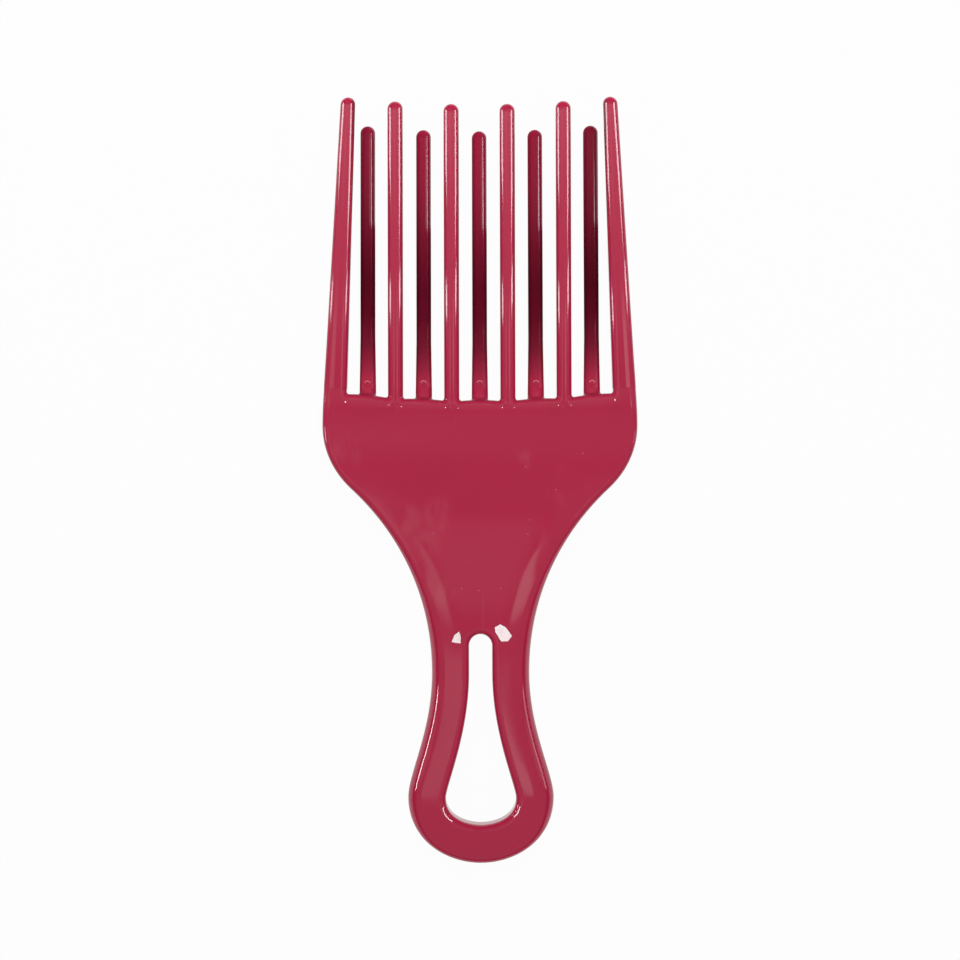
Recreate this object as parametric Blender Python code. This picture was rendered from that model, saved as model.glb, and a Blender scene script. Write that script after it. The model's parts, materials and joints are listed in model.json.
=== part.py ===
"""A double-row volumizing comb: a fan-shaped plate that narrows to a looped handle, six long
front teeth and five shorter back teeth that stand between them, in two rows that spread apart.

Metres, +Z up. The comb lies on its back: +X is its right side, +Y runs towards the tips, and
+Z is its front. The origin is under the middle of its box.
"""

import math

import bmesh
import bpy
from mathutils import Matrix

# Lengths down the comb, from the lip of the plate on the centre line
body_length = 0.10288
fan_drop = 0.00563
shoulder_drop = 0.01960
hole_drop = 0.05203
neck_drop = 0.06066
loop_rise = 0.01451
end_bar = 0.00856

# Half widths of the plate, the neck and the handle's loop
fan_half_width = 0.03503
shoulder_step = 0.00620
neck_half_width = 0.01088
loop_half_width = 0.01624
branch_width = 0.00833
branch_swell = 0.00013
shoulder_angle = math.radians(46.6)

# Thickness of the body, and where it thins from the handle to the plate
handle_thickness = 0.0072
plate_thickness = 0.0046
root_thickness = 0.0052
taper_foot_drop = 0.0580
taper_top_drop = 0.0220
root_swell_length = 0.0140
edge_round = 0.0013

# The two rows of teeth
front_reach = 0.06560
back_reach = 0.06017
row_arc_radius = 0.265
front_width = 0.00339
back_width = 0.00328
tooth_depth_root = 0.0035
tooth_depth_tip = 0.0032
crest_step = 0.00015
row_rise_tip = 0.0035

# The outer front teeth carry on the sides of the plate and lean in towards their tips
outer_inset = 0.00295
outer_lean = 0.00302
outer_root_step = 0.00085
outer_root_width = 0.00514
outer_tip_width = 0.00319

# Where a tooth swells into its root
root_seam = 0.0029
seat_gap = 0.0003
front_fillet = 0.0006
back_fillet = 0.0010
gusset_length = 0.0100
gusset_depth = 0.0006
flare_length = 0.0130
back_flare_width = 0.00019
row_lean_share = 0.0045
root_bury = 0.0020
overrun = 0.0020

# How the teeth are rounded, as shares of their own half sizes
tooth_round_share = 0.82
tip_round_share = 0.98

# Lengths of the outline's curve handles, as shares of the drop that each run covers
side_shares = (0.34, 0.34)
fan_shares = (0.474, 0.282)
neck_shares = (0.116, 0.592)
loop_shares = (0.465, 0.191)
flare_shares = (0.494, 0.099)
hole_end_shares = (0.87, 0.223)
end_shares = (0.649, 0.478)

# How finely each run is divided
lip_steps = 11
fillet_steps = 4
side_steps = 4
fan_steps = 6
neck_steps = 16
loop_steps = 11
end_steps = 10
hole_top_steps = 5
slot_steps = 2
flare_steps = 10
hole_end_steps = 7
edge_steps = 3
bend_steps = 15
corner_steps = 5
fillet_rings = 4
flare_rings = 4
tip_rings = 5
sharp_angle = math.radians(40.0)
merge_distance = 0.000001

# The finish: a glossy, deep cranberry plastic
plastic_colour = (0.386, 0.028, 0.062, 1.0)
plastic_roughness = 0.16

middle = handle_thickness / 2.0
front_places = (-1.5, -0.5, 0.5, 1.5)
back_places = (-2, -1, 0, 1, 2)
outer_place = 2.5
outer_sides = (-1, 1)

# The shoulder and the teeth keep their distances from the sides of the plate, and the loop's
# widest place its distance from the end of the handle.
shoulder_half_width = fan_half_width - shoulder_step
outer_root_x = fan_half_width - outer_inset
outer_tip_x = outer_root_x - outer_lean
tooth_pitch = (outer_root_x - outer_root_step) / outer_place
loop_drop = body_length - loop_rise


def row_sag(x):
    """How far the arc of the roots, or of the tips, has risen at x from the centre line."""
    return row_arc_radius - math.sqrt(row_arc_radius**2 - x**2)


# The comb's box is centred on the origin, so the lip lies this far up the Y axis.
lip_y = (body_length - front_reach - row_sag(outer_tip_x)) / 2.0


def ease(t):
    """A smooth step from 0 to 1."""
    t = min(max(t, 0.0), 1.0)
    return t * t * (3.0 - 2.0 * t)


def thickness(y):
    """The body's thickness at y, measured from the lip."""
    thinning = ease((y + taper_foot_drop) / (taper_foot_drop - taper_top_drop))
    swelling = ease((y + root_swell_length) / root_swell_length)
    thin = (plate_thickness - handle_thickness) * thinning
    thick = (root_thickness - plate_thickness) * swelling
    return handle_thickness + thin + thick


def curve_run(start, leave, arrive, end, steps):
    """Points of a cubic curve after its start, up to and with its end."""
    points = []
    for i in range(1, steps + 1):
        t = i / steps
        shares = ((1 - t) ** 3, 3 * (1 - t) ** 2 * t, 3 * (1 - t) * t**2, t**3)
        corners = (start, leave, arrive, end)
        points.append(tuple(sum(s * c[k] for s, c in zip(shares, corners)) for k in (0, 1)))
    return points


def outer_share(y):
    """How far up an outer tooth y lies, from 0 at its seam to 1 at its tip."""
    tip = front_reach + row_sag(outer_tip_x)
    return (y - root_seam) / (tip - root_seam)


def outer_centre(y):
    return outer_root_x + (outer_tip_x - outer_root_x) * outer_share(y)


def outer_half_width(y):
    return (outer_root_width + (outer_tip_width - outer_root_width) * outer_share(y)) / 2.0


def root_outline():
    """The lip, from the centre line to the outer tooth, then that tooth's root and its side."""
    stub_top = root_seam + overrun
    corner_x = outer_centre(0.0) - outer_half_width(0.0)
    fillet_x = corner_x - front_fillet
    fillet_y = row_sag(fillet_x) + front_fillet
    points = [(fillet_x * i / lip_steps, row_sag(fillet_x * i / lip_steps)) for i in range(lip_steps + 1)]
    for i in range(1, fillet_steps + 1):
        turn = math.pi / 2.0 * i / fillet_steps
        x = fillet_x + front_fillet * math.sin(turn)
        points.append((x, fillet_y - front_fillet * math.cos(turn)))
    points.append((outer_centre(stub_top) - outer_half_width(stub_top), stub_top))
    points.append((outer_centre(stub_top) + outer_half_width(stub_top), stub_top))
    seam_point = (outer_centre(root_seam) + outer_half_width(root_seam), root_seam)
    side_slope = (outer_tip_x - outer_root_x + (outer_tip_width - outer_root_width) / 2.0) / front_reach
    drop = root_seam + fan_drop
    leave = (seam_point[0] - side_slope * side_shares[0] * drop, root_seam - side_shares[0] * drop)
    arrive = (fan_half_width, side_shares[1] * drop - fan_drop)
    points.append(seam_point)
    return points + curve_run(seam_point, leave, arrive, (fan_half_width, -fan_drop), side_steps)


def side_outline():
    """The body's side, from the widest place of the plate to the end of the handle."""
    fan = (fan_half_width, -fan_drop)
    shoulder = (shoulder_half_width, -shoulder_drop)
    neck = (neck_half_width, -neck_drop)
    loop = (loop_half_width, -loop_drop)
    end = (0.0, -body_length)
    slant = (math.sin(shoulder_angle), math.cos(shoulder_angle))
    drops = (shoulder_drop - fan_drop, neck_drop - shoulder_drop, loop_drop - neck_drop)
    before = fan_shares[1] * drops[0]
    after = neck_shares[0] * drops[1]
    points = curve_run(
        fan,
        (fan[0], fan[1] - fan_shares[0] * drops[0]),
        (shoulder[0] + slant[0] * before, shoulder[1] + slant[1] * before),
        shoulder,
        fan_steps,
    )
    points += curve_run(
        shoulder,
        (shoulder[0] - slant[0] * after, shoulder[1] - slant[1] * after),
        (neck[0], neck[1] + neck_shares[1] * drops[1]),
        neck,
        neck_steps,
    )
    points += curve_run(
        neck,
        (neck[0], neck[1] - loop_shares[0] * drops[2]),
        (loop[0], loop[1] + loop_shares[1] * drops[2]),
        loop,
        loop_steps,
    )
    points += curve_run(
        loop,
        (loop[0], loop[1] + (end[1] - loop[1]) * end_shares[0]),
        (loop[0] * end_shares[1], end[1]),
        end,
        end_steps,
    )
    return points


def hole_outline():
    """One side of the finger hole: a narrow slot that flares to a broad, rounded end."""
    slot = neck_half_width - branch_width
    broad = (loop_half_width - branch_width - branch_swell, -loop_drop)
    end = (0.0, end_bar - body_length)
    slot_top = -hole_drop - slot
    flare_drop = loop_drop - neck_drop
    points = [(0.0, -hole_drop)]
    for i in range(1, hole_top_steps + 1):
        turn = math.pi / 2.0 * i / hole_top_steps
        points.append((slot * math.sin(turn), slot_top + slot * math.cos(turn)))
    for i in range(1, slot_steps + 1):
        points.append((slot, slot_top + (-neck_drop - slot_top) * i / slot_steps))
    points += curve_run(
        (slot, -neck_drop),
        (slot, -neck_drop - flare_shares[0] * flare_drop),
        (broad[0], broad[1] + flare_shares[1] * flare_drop),
        broad,
        flare_steps,
    )
    points += curve_run(
        broad,
        (broad[0], broad[1] + (end[1] - broad[1]) * hole_end_shares[0]),
        (broad[0] * hole_end_shares[1], end[1]),
        end,
        hole_end_steps,
    )
    return points


def whole_loop(half):
    """A closed outline from its right half, which starts and ends on the centre line."""
    return half + [(-x, y) for x, y in reversed(half[1:-1])]


def add_spline(curve, points):
    spline = curve.splines.new("POLY")
    spline.points.add(len(points) - 1)
    for target, (x, y) in zip(spline.points, points):
        target.co = (x, y, 0.0, 1.0)
    spline.use_cyclic_u = True


def mesh_of(item):
    """The evaluated mesh of an object, as a mesh of its own."""
    graph = bpy.context.evaluated_depsgraph_get()
    return bpy.data.meshes.new_from_object(item.evaluated_get(graph))


def flat_body():
    """The outline and its hole, filled, given the handle's thickness and rounded at both faces."""
    curve = bpy.data.curves.new("body_outline", "CURVE")
    curve.dimensions = "2D"
    curve.fill_mode = "BOTH"
    curve.extrude = handle_thickness / 2.0 - edge_round
    curve.bevel_depth = edge_round
    curve.bevel_resolution = edge_steps
    curve.offset = -edge_round
    add_spline(curve, whole_loop(root_outline() + side_outline()))
    add_spline(curve, whole_loop(hole_outline()))
    outline = bpy.data.objects.new("body_outline", curve)
    bpy.context.scene.collection.objects.link(outline)
    mesh = mesh_of(outline)
    bpy.data.objects.remove(outline)
    return mesh


def thin_the_plate(mesh):
    """Divides the flat body across its length and gives every level its own thickness."""
    shape = bmesh.new()
    shape.from_mesh(mesh)
    bmesh.ops.remove_doubles(shape, verts=shape.verts, dist=merge_distance)
    for i in range(bend_steps + 1):
        level = -taper_foot_drop + taper_foot_drop * i / bend_steps
        parts = shape.verts[:] + shape.edges[:] + shape.faces[:]
        bmesh.ops.bisect_plane(shape, geom=parts, plane_co=(0.0, level, 0.0), plane_no=(0.0, 1.0, 0.0))
    for vert in shape.verts:
        vert.co.z *= thickness(vert.co.y) / handle_thickness
    bmesh.ops.recalc_face_normals(shape, faces=shape.faces)
    shape.to_mesh(mesh)
    shape.free()


def section(centre, half_width, half_depth, round_x, round_z):
    """A rounded rectangle across a tooth, as points at one level of its length."""
    x, y, z = centre
    points = []
    for right, up in ((1, 1), (-1, 1), (-1, -1), (1, -1)):
        for i in range(corner_steps):
            turn = math.pi / 2.0 * i / (corner_steps - 1)
            across, along = (math.cos(turn), math.sin(turn))
            if right * up < 0:
                across, along = along, across
            corner_x = half_width - round_x + round_x * across
            corner_z = half_depth - round_z + round_z * along
            points.append((x + right * corner_x, y, z + up * corner_z))
    return points


def loft(rings, tip=None):
    """A closed skin through rings of equal count, flat at its root, with a flat end or a point."""
    shape = bmesh.new()
    loops = [[shape.verts.new(point) for point in ring] for ring in rings]
    count = len(loops[0])
    for low, high in zip(loops, loops[1:]):
        for i in range(count):
            shape.faces.new((low[i], low[(i + 1) % count], high[(i + 1) % count], high[i]))
    shape.faces.new(loops[0])
    if tip is None:
        shape.faces.new(loops[-1])
    else:
        point = shape.verts.new(tip)
        for i in range(count):
            shape.faces.new((loops[-1][i], loops[-1][(i + 1) % count], point))
    bmesh.ops.remove_doubles(shape, verts=shape.verts, dist=merge_distance)
    bmesh.ops.recalc_face_normals(shape, faces=shape.faces)
    return shape


def fade(distance, length):
    """1 at a tooth's root, falling evenly to 0 at a length from it."""
    return max(1.0 - max(distance, 0.0) / length, 0.0)


def fillet(distance, radius):
    """How far a round of this radius still stands out, at a distance above the lip."""
    left = radius - min(max(distance, 0.0), radius)
    return radius - math.sqrt(radius**2 - left**2)


def crest(y):
    """How high above the body's middle a row's outer face lies, at y from the lip."""
    root_rise = root_thickness / 2.0 - crest_step
    return root_rise + (row_rise_tip - root_rise) * max(y, 0.0) / front_reach


def inner_section(x, y, side, scale=1.0):
    """A tooth's section between the outer two. side is 1 in the front row and -1 in the back."""
    width, radius, extra = (
        (front_width, front_fillet, 0.0) if side > 0 else (back_width, back_fillet, back_flare_width)
    )
    above = y - row_sag(x)
    up = max(y, 0.0) / front_reach
    half_width = width / 2.0 + extra * fade(above, flare_length) + fillet(above, radius)
    shaft = tooth_depth_root + (tooth_depth_tip - tooth_depth_root) * up
    half_depth = (shaft + gusset_depth * fade(above, gusset_length) ** 2) / 2.0
    centre = (x * (1.0 - row_lean_share * up), y, side * (crest(y) - half_depth))
    share = tooth_round_share
    return section(
        centre,
        half_width * scale,
        half_depth * scale,
        width / 2.0 * share * scale,
        half_depth * share * scale,
    )


def outer_section(right, y, scale=1.0):
    """An outer tooth's section: the plate's own edge at the seam, nearly round at the tip."""
    share = max(outer_share(y), 0.0)
    half_width = outer_half_width(y)
    root_half_depth = root_thickness / 2.0
    half_depth = root_half_depth + (tooth_depth_tip / 2.0 - root_half_depth) * share
    front_face = root_half_depth + (row_rise_tip - root_half_depth) * share
    edge_z = edge_round * root_thickness / handle_thickness
    round_x = edge_round + (outer_tip_width / 2.0 * tip_round_share - edge_round) * share
    round_z = edge_z + (tooth_depth_tip / 2.0 * tip_round_share - edge_z) * share
    centre = (right * outer_centre(y), y, front_face - half_depth)
    return section(centre, half_width * scale, half_depth * scale, round_x * scale, round_z * scale)


def tooth_levels(root, lip, tip, tip_radius):
    """Levels up a tooth from its seat, with the last few closing its rounded end."""
    flare_top = lip + flare_length
    levels = [(root + (flare_top - root) * i / flare_rings, 1.0) for i in range(flare_rings + 1)]
    shoulder = tip - tip_radius
    for i in range(tip_rings):
        turn = math.pi / 2.0 * i / tip_rings
        levels.append((shoulder + tip_radius * math.sin(turn), math.cos(turn)))
    return levels


def inner_tooth(x, side):
    """A whole inner tooth, from its seat on the root to its tip."""
    reach = front_reach if side > 0 else back_reach
    width = front_width if side > 0 else back_width
    tip = reach + row_sag(x)
    levels = tooth_levels(root_seam + seat_gap, row_sag(x), tip, width / 2.0)
    rings = [inner_section(x, y, side, scale) for y, scale in levels]
    tip_x = x * (1.0 - row_lean_share * tip / front_reach)
    tip_z = side * (crest(tip) - tooth_depth_tip / 2.0)
    return loft(rings, (tip_x, tip, tip_z))


def inner_root(x, side):
    """The stub of an inner tooth, from inside the plate to just past the seam."""
    lip = row_sag(x)
    radius = front_fillet if side > 0 else back_fillet
    levels = [lip - root_bury, lip]
    for i in range(1, fillet_rings + 1):
        levels.append(lip + radius * (1.0 - math.cos(math.pi / 2.0 * i / fillet_rings)))
    levels.append(root_seam + overrun)
    return loft([inner_section(x, y, side) for y in levels])


def outer_tooth(right):
    """A whole outer tooth, from its seat on the plate's corner to its tip."""
    tip = front_reach + row_sag(outer_tip_x)
    levels = tooth_levels(root_seam + seat_gap, 0.0, tip, outer_tip_width / 2.0)
    rings = [outer_section(right, y, scale) for y, scale in levels]
    return loft(rings, (right * outer_centre(tip), tip, row_rise_tip - tooth_depth_tip / 2.0))


def place(shape):
    """Moves a shape from the lip's frame, with Z at the body's middle, to the comb's own frame."""
    shape.transform(Matrix.Translation((0.0, lip_y, middle)))


def plastic(name):
    finish = bpy.data.materials.new(name + "_plastic")
    finish.use_nodes = True
    shader = finish.node_tree.nodes["Principled BSDF"]
    shader.inputs["Base Color"].default_value = plastic_colour
    shader.inputs["Roughness"].default_value = plastic_roughness
    shader.inputs["Metallic"].default_value = 0.0
    finish.diffuse_color = plastic_colour
    return finish


def new_object(name, mesh, collection):
    mesh.name = name
    item = bpy.data.objects.new(name, mesh)
    collection.objects.link(item)
    return item


def add_piece(name, shape, collection):
    """A finished node from a shape in the lip's frame."""
    place(shape)
    mesh = bpy.data.meshes.new(name)
    shape.to_mesh(mesh)
    shape.free()
    mesh.shade_smooth()
    mesh.set_sharp_from_angle(angle=sharp_angle)
    mesh.materials.append(plastic(name))
    return new_object(name, mesh, collection)


def add_cutter(name, shape, collection):
    mesh = bpy.data.meshes.new(name)
    shape.to_mesh(mesh)
    shape.free()
    cutter = new_object(name, mesh, collection)
    cutter.hide_render = True
    cutter.display_type = "WIRE"
    return cutter


def root_stubs():
    """The roots of the nine inner teeth, as separate closed bodies in one shape."""
    stubs = bmesh.new()
    places = [(tooth_pitch * place_share, 1) for place_share in front_places]
    places += [(tooth_pitch * place_share, -1) for place_share in back_places]
    for x, side in places:
        stub = inner_root(x, side)
        mesh = bpy.data.meshes.new("stub")
        stub.to_mesh(mesh)
        stub.free()
        stubs.from_mesh(mesh)
        bpy.data.meshes.remove(mesh)
    return stubs


def seam_block():
    """A block over all the roots, whose lower face is the flat plane that the teeth seat on."""
    block = bmesh.new()
    bmesh.ops.create_cube(block, size=1.0)
    length = 2.0 * overrun
    size = (2.0 * (fan_half_width + overrun), length, handle_thickness + 2.0 * overrun)
    bmesh.ops.scale(block, vec=size, verts=block.verts)
    bmesh.ops.translate(block, vec=(0.0, root_seam + length / 2.0, 0.0), verts=block.verts)
    return block


def join_and_cut(body, cutters):
    """Fuses the roots to the plate, then cuts all of them flat at the seam."""
    for name, operation, shape in (
        ("root_stubs", "UNION", root_stubs()),
        ("seam_block", "DIFFERENCE", seam_block()),
    ):
        boolean = body.modifiers.new(name, "BOOLEAN")
        boolean.operation = operation
        boolean.solver = "EXACT"
        boolean.object = add_cutter(name, shape, cutters)


def build_body(collection, cutters):
    """The plate, the looped handle and the roots of all eleven teeth."""
    mesh = flat_body()
    thin_the_plate(mesh)
    rough = new_object("rough_body", mesh, collection)
    join_and_cut(rough, cutters)
    cut_mesh = mesh_of(rough)
    bpy.data.objects.remove(rough)
    shape = bmesh.new()
    shape.from_mesh(cut_mesh)
    bmesh.ops.remove_doubles(shape, verts=shape.verts, dist=merge_distance)
    bmesh.ops.dissolve_degenerate(shape, edges=shape.edges, dist=merge_distance)
    bpy.data.meshes.remove(cut_mesh)
    return add_piece("body", shape, collection)


def build_teeth(collection):
    """The front teeth from left to right, outer ones included, then the back teeth."""
    shapes = [("front_tooth_1", outer_tooth(outer_sides[0]))]
    for i, place_share in enumerate(front_places):
        shapes.append((f"front_tooth_{i + 2}", inner_tooth(tooth_pitch * place_share, 1)))
    shapes.append((f"front_tooth_{len(front_places) + 2}", outer_tooth(outer_sides[1])))
    for i, place_share in enumerate(back_places):
        shapes.append((f"back_tooth_{i + 1}", inner_tooth(tooth_pitch * place_share, -1)))
    for name, shape in shapes:
        add_piece(name, shape, collection)


def build():
    for item in list(bpy.data.objects):
        bpy.data.objects.remove(item, do_unlink=True)
    parts = bpy.data.collections.new("volumizing_comb")
    cutters = bpy.data.collections.new("cutters")
    bpy.context.scene.collection.children.link(parts)
    bpy.context.scene.collection.children.link(cutters)
    build_body(parts, cutters)
    build_teeth(parts)


build()
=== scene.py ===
"""The looks of a double-row volumizing comb: its moulded skin, its teeth and their finish.

The skin of the plate and handle is found on a distance field, so that its rounded edges and the
fillets round the roots of the teeth run into each other. The teeth are one Geometry Nodes tree.
The finish has painted shade on the back row, along the lip's edge and under the facets, and a
painted highlight on the ejector marks.
"""

import json
import math
from functools import reduce

import bmesh
import bpy
import numpy as np
from mathutils import Matrix, Vector, kdtree

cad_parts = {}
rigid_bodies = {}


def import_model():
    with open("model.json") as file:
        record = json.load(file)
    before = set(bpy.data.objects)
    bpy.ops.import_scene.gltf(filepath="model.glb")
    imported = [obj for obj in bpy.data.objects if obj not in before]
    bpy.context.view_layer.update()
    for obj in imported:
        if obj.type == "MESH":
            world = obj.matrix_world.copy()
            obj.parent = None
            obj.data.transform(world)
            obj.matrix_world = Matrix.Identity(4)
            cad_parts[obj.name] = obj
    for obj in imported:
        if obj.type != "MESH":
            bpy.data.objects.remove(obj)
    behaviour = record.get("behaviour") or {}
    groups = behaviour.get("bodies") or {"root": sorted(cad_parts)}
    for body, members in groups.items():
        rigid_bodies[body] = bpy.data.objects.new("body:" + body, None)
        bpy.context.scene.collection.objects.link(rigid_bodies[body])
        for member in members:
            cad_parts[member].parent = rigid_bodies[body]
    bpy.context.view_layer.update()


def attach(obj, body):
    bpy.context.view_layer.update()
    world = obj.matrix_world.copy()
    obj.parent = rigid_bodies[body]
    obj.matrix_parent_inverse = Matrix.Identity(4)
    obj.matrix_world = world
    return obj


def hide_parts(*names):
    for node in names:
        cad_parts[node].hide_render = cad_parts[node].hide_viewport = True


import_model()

# The comb's own sizes, as its solids have them, in metres
body_length = 0.10288
fan_drop = 0.00563
shoulder_drop = 0.01960
hole_drop = 0.05203
neck_drop = 0.06066
loop_rise = 0.01451
end_bar = 0.00856
fan_half_width = 0.03503
shoulder_step = 0.00620
neck_half_width = 0.01088
loop_half_width = 0.01624
branch_width = 0.00833
branch_swell = 0.00013
shoulder_angle = math.radians(46.6)
handle_thickness = 0.0072
plate_thickness = 0.0046
root_thickness = 0.0052
taper_foot_drop = 0.0580
taper_top_drop = 0.0220
root_swell_length = 0.0140
edge_round = 0.0013
front_reach = 0.06560
back_reach = 0.06017
row_arc_radius = 0.265
front_width = 0.00339
back_width = 0.00328
tooth_depth_root = 0.0035
tooth_depth_tip = 0.0032
row_rise_tip = 0.0035
outer_inset = 0.00295
outer_lean = 0.00302
outer_root_step = 0.00085
outer_root_width = 0.00514
outer_tip_width = 0.00319
root_seam = 0.0029
front_fillet = 0.0006
back_fillet = 0.0003
gusset_length = 0.0100
gusset_depth = 0.0006
flare_length = 0.0130
back_flare_width = 0.00019
row_lean_share = 0.0045
tooth_round_share = 0.82
tip_round_share = 0.98
side_shares = (0.34, 0.34)
fan_shares = (0.474, 0.282)
neck_shares = (0.116, 0.592)
loop_shares = (0.465, 0.191)
flare_shares = (0.494, 0.099)
hole_end_shares = (0.87, 0.223)
end_shares = (0.649, 0.478)
front_places = (-1.5, -0.5, 0.5, 1.5)
back_places = (-2, -1, 0, 1, 2)
outer_place = 2.5

shoulder_half_width = fan_half_width - shoulder_step
outer_root_x = fan_half_width - outer_inset
outer_tip_x = outer_root_x - outer_lean
tooth_pitch = (outer_root_x - outer_root_step) / outer_place
front_teeth_x = [tooth_pitch * place for place in front_places]
back_teeth_x = [tooth_pitch * place for place in back_places]
inner_teeth = [(x, 1) for x in front_teeth_x] + [(x, -1) for x in back_teeth_x]
loop_drop = body_length - loop_rise
middle = handle_thickness / 2.0

# The softer shapes of the moulded skin
bevel_slope = 0.042
bevel_length = 0.0034
lip_scallop = 0.0005
lip_wall = 0.0012
root_crest_fall = 0.025
crown_fall = 0.00060
crown_band = 0.0085
crown_full_drop = 0.0400
crown_top_drop = 0.0150
handle_round = 0.0032
end_round = 0.0015
end_round_drops = (0.0900, 0.1010)
hole_round = 0.0015
lip_round = 0.0009
lip_round_drops = (0.0060, 0.0030)

# The plastic. A noise is its scale, detail and roughness, and a way is its turn and stretch
plastic_colour = (0.380, 0.0124, 0.0490)
plastic_roughness = 0.06
plastic_ior = 1.5
front_blur = 0.0006
flow_noise = (90.0, 3.0, 0.55)
flow_tone = 0.10
flow_height = 0.000006
grain_noise = (900.0, 2.0, 0.5)
grain_tone = 0.03
grain_dullness = 0.02
haze_way = (0.6, 0.45)
haze_noise = (150.0, 4.0, 0.6)
haze_levels = (0.56, 0.72)
haze_dullness = 0.06
haze_height = 0.000003
scratch_way = (0.35, 0.06)
scratch_noise = (2600.0, 2.0, 0.5)
scratch_levels = (0.68, 0.76)
scratch_dullness = 0.06
scratch_depth = 0.0000004

# The marks on it, with a painted highlight on the ejector marks, placed in the photograph's pixels
dust_and_highlight_colour = (0.80, 0.42, 0.46, 1.0)
fleck_pixels = (
    (525, 467), (555, 490), (529, 520), (527, 534), (461, 588), (478, 590), (500, 588),
    (582, 454), (433, 533),
)
fleck_radius = 0.00020
fleck_strength = 0.22
smudge_pixels = (
    (405, 520), (440, 515), (425, 545), (571, 492), (556, 484), (524, 468), (440, 590),
    (350, 450),
)
smudge_radius = 0.0050
smudge_levels = (0.42, 0.62)
smudge_strength = 0.04
weld_pixels = ((482, 597), (482, 628))
weld_line = (0.00012, 0.00003)
weld_fade = 0.0006
weld_strength = 0.05
spot_core = 0.4
# the ejector marks: a shallow dip, with a painted highlight along its upper edge
ejector_radius = 0.00060
ejector_rise = 0.0037
ejector_blur = 0.00010
ejector_depth = 0.00006
ejector_line = (0.00016, 0.00006)
ejector_shares = (0.1, 0.4)
ejector_highlight_strength = 0.4
# painted shade along the lip's edge, between the front teeth
lip_edge_shade_strength = 0.25
lip_edge_foot = (-0.0007, -0.0002)
lip_edge_top = (0.0006, 0.0002)
lip_edge_across = (0.372, 0.362)
lip_edge_reach = (0.0294, 0.0290)

# Small places that face a low lamp: facets, arcs at the hole's broad end and glints at the lip
left_low_lamp = (-0.34, 0.150, 0.055)
right_low_lamp = (0.34, 0.150, 0.055)
facet_blur = 0.00006
# how much the colour is darkened under the facet highlights, as painted shade
facet_painted_shade = 0.60
facets = (
    (((458.5, 630.3), (460.3, 635.8), (459.9, 642.7), (450.8, 641.3), (453.4, 634.1)),
     left_low_lamp),
    (((499.4, 623.3), (505.1, 626.7), (511.1, 635.3), (506.8, 640.5), (500.0, 640.9),
      (493.9, 631.0), (493.6, 626.4)), right_low_lamp),
)
arc_width = 0.00020
arc_core = 0.85
hole_arcs = (
    (((441.8, 803.9), (445.6, 814.6), (452.6, 819.8)), right_low_lamp),
    (((518.5, 803.6), (516.4, 810.0), (511.4, 815.8)), left_low_lamp),
)
glint_ends = ((345.9, 402.2), (614.1, 400.8))
glints = (
    (glint_ends, 0.00036),
    (((389.0, 405.5), (401.6, 406.9), (445.5, 408.2), (502.0, 408.2), (557.8, 406.1)), 0.00026),
    (((457.8, 408.8), (513.9, 408.2), (570.6, 406.1)), 0.00018),
)
outer_flank_x = (0.0270, 0.0273)
outer_flank_levels = (-0.004, 0.004)
outer_flank_lean = 0.046
outer_flank_taper = 0.015

# The back row, which lies in the front row's shade: painted shade, as its colour darkened and its
# gloss taken away along its teeth
row_length = 0.060
row_blend = 0.2
row_start = 0.0010
back_row_painted_shades = (
    (0.0, 1.05), (0.057, 1.00), (0.112, 0.70), (0.187, 0.42), (0.298, 0.29), (0.408, 0.27),
    (0.483, 0.33), (0.577, 0.43), (0.65, 0.53), (0.743, 0.64), (0.833, 0.73), (1.0, 0.80),
)
row_glosses = (
    (0.0, 0.50), (0.03, 0.25), (0.112, 0.18), (0.187, 0.12), (0.298, 0.03), (0.408, 0.02),
    (0.55, 0.04), (0.70, 0.13), (0.90, 0.18), (1.0, 0.22),
)
row_outer_share = 0.32
row_right_share = 0.08
row_outer_levels = (0.008, 0.030)
row_edge = (0.0003, 0.0006)
row_edge_levels = (0.0365, 0.0395)
root_dullness = 0.45
root_dull_levels = (0.0000, 0.0008, 0.0100, 0.0150)

# How finely the skin and the teeth are made
sample_step = 0.00005
curve_samples = 160
lip_samples = 400
corner_samples = 40
hole_top_samples = 120
tangent_reach = 2
bend_reach = 3
rough_every = 8
merge_distance = 0.000001
skin_cell = 0.00036
stub_height = 0.0040
root_sink = 0.0050
block_sink = 0.0010
normal_step = 0.00001
least_gradient = 0.2
least_fillet = 0.000000001
settle_rounds = 4
seam_settle_rounds = 2
seam_tolerance = 0.000001
seam_face_tolerance = 0.00001
seam_facing = 0.999
tooth_sides = 48
tooth_rings = 96
tip_ring_share = 0.14
tooth_squareness = 8.0
seat_overlap = 0.0003
tooth_merge_distance = 0.000002

# The photograph's view, with the sensor's width in millimetres
pixels_per_metre = 4487.0
frame_pixels = 960.0
picture_middle = (479.6, 480.2)
sensor_width = 36.0
camera_height = 0.500
camera_x = -0.00002
camera_y = 0.00004
camera_roll = math.radians(-0.16)
camera_near = 0.01

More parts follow.
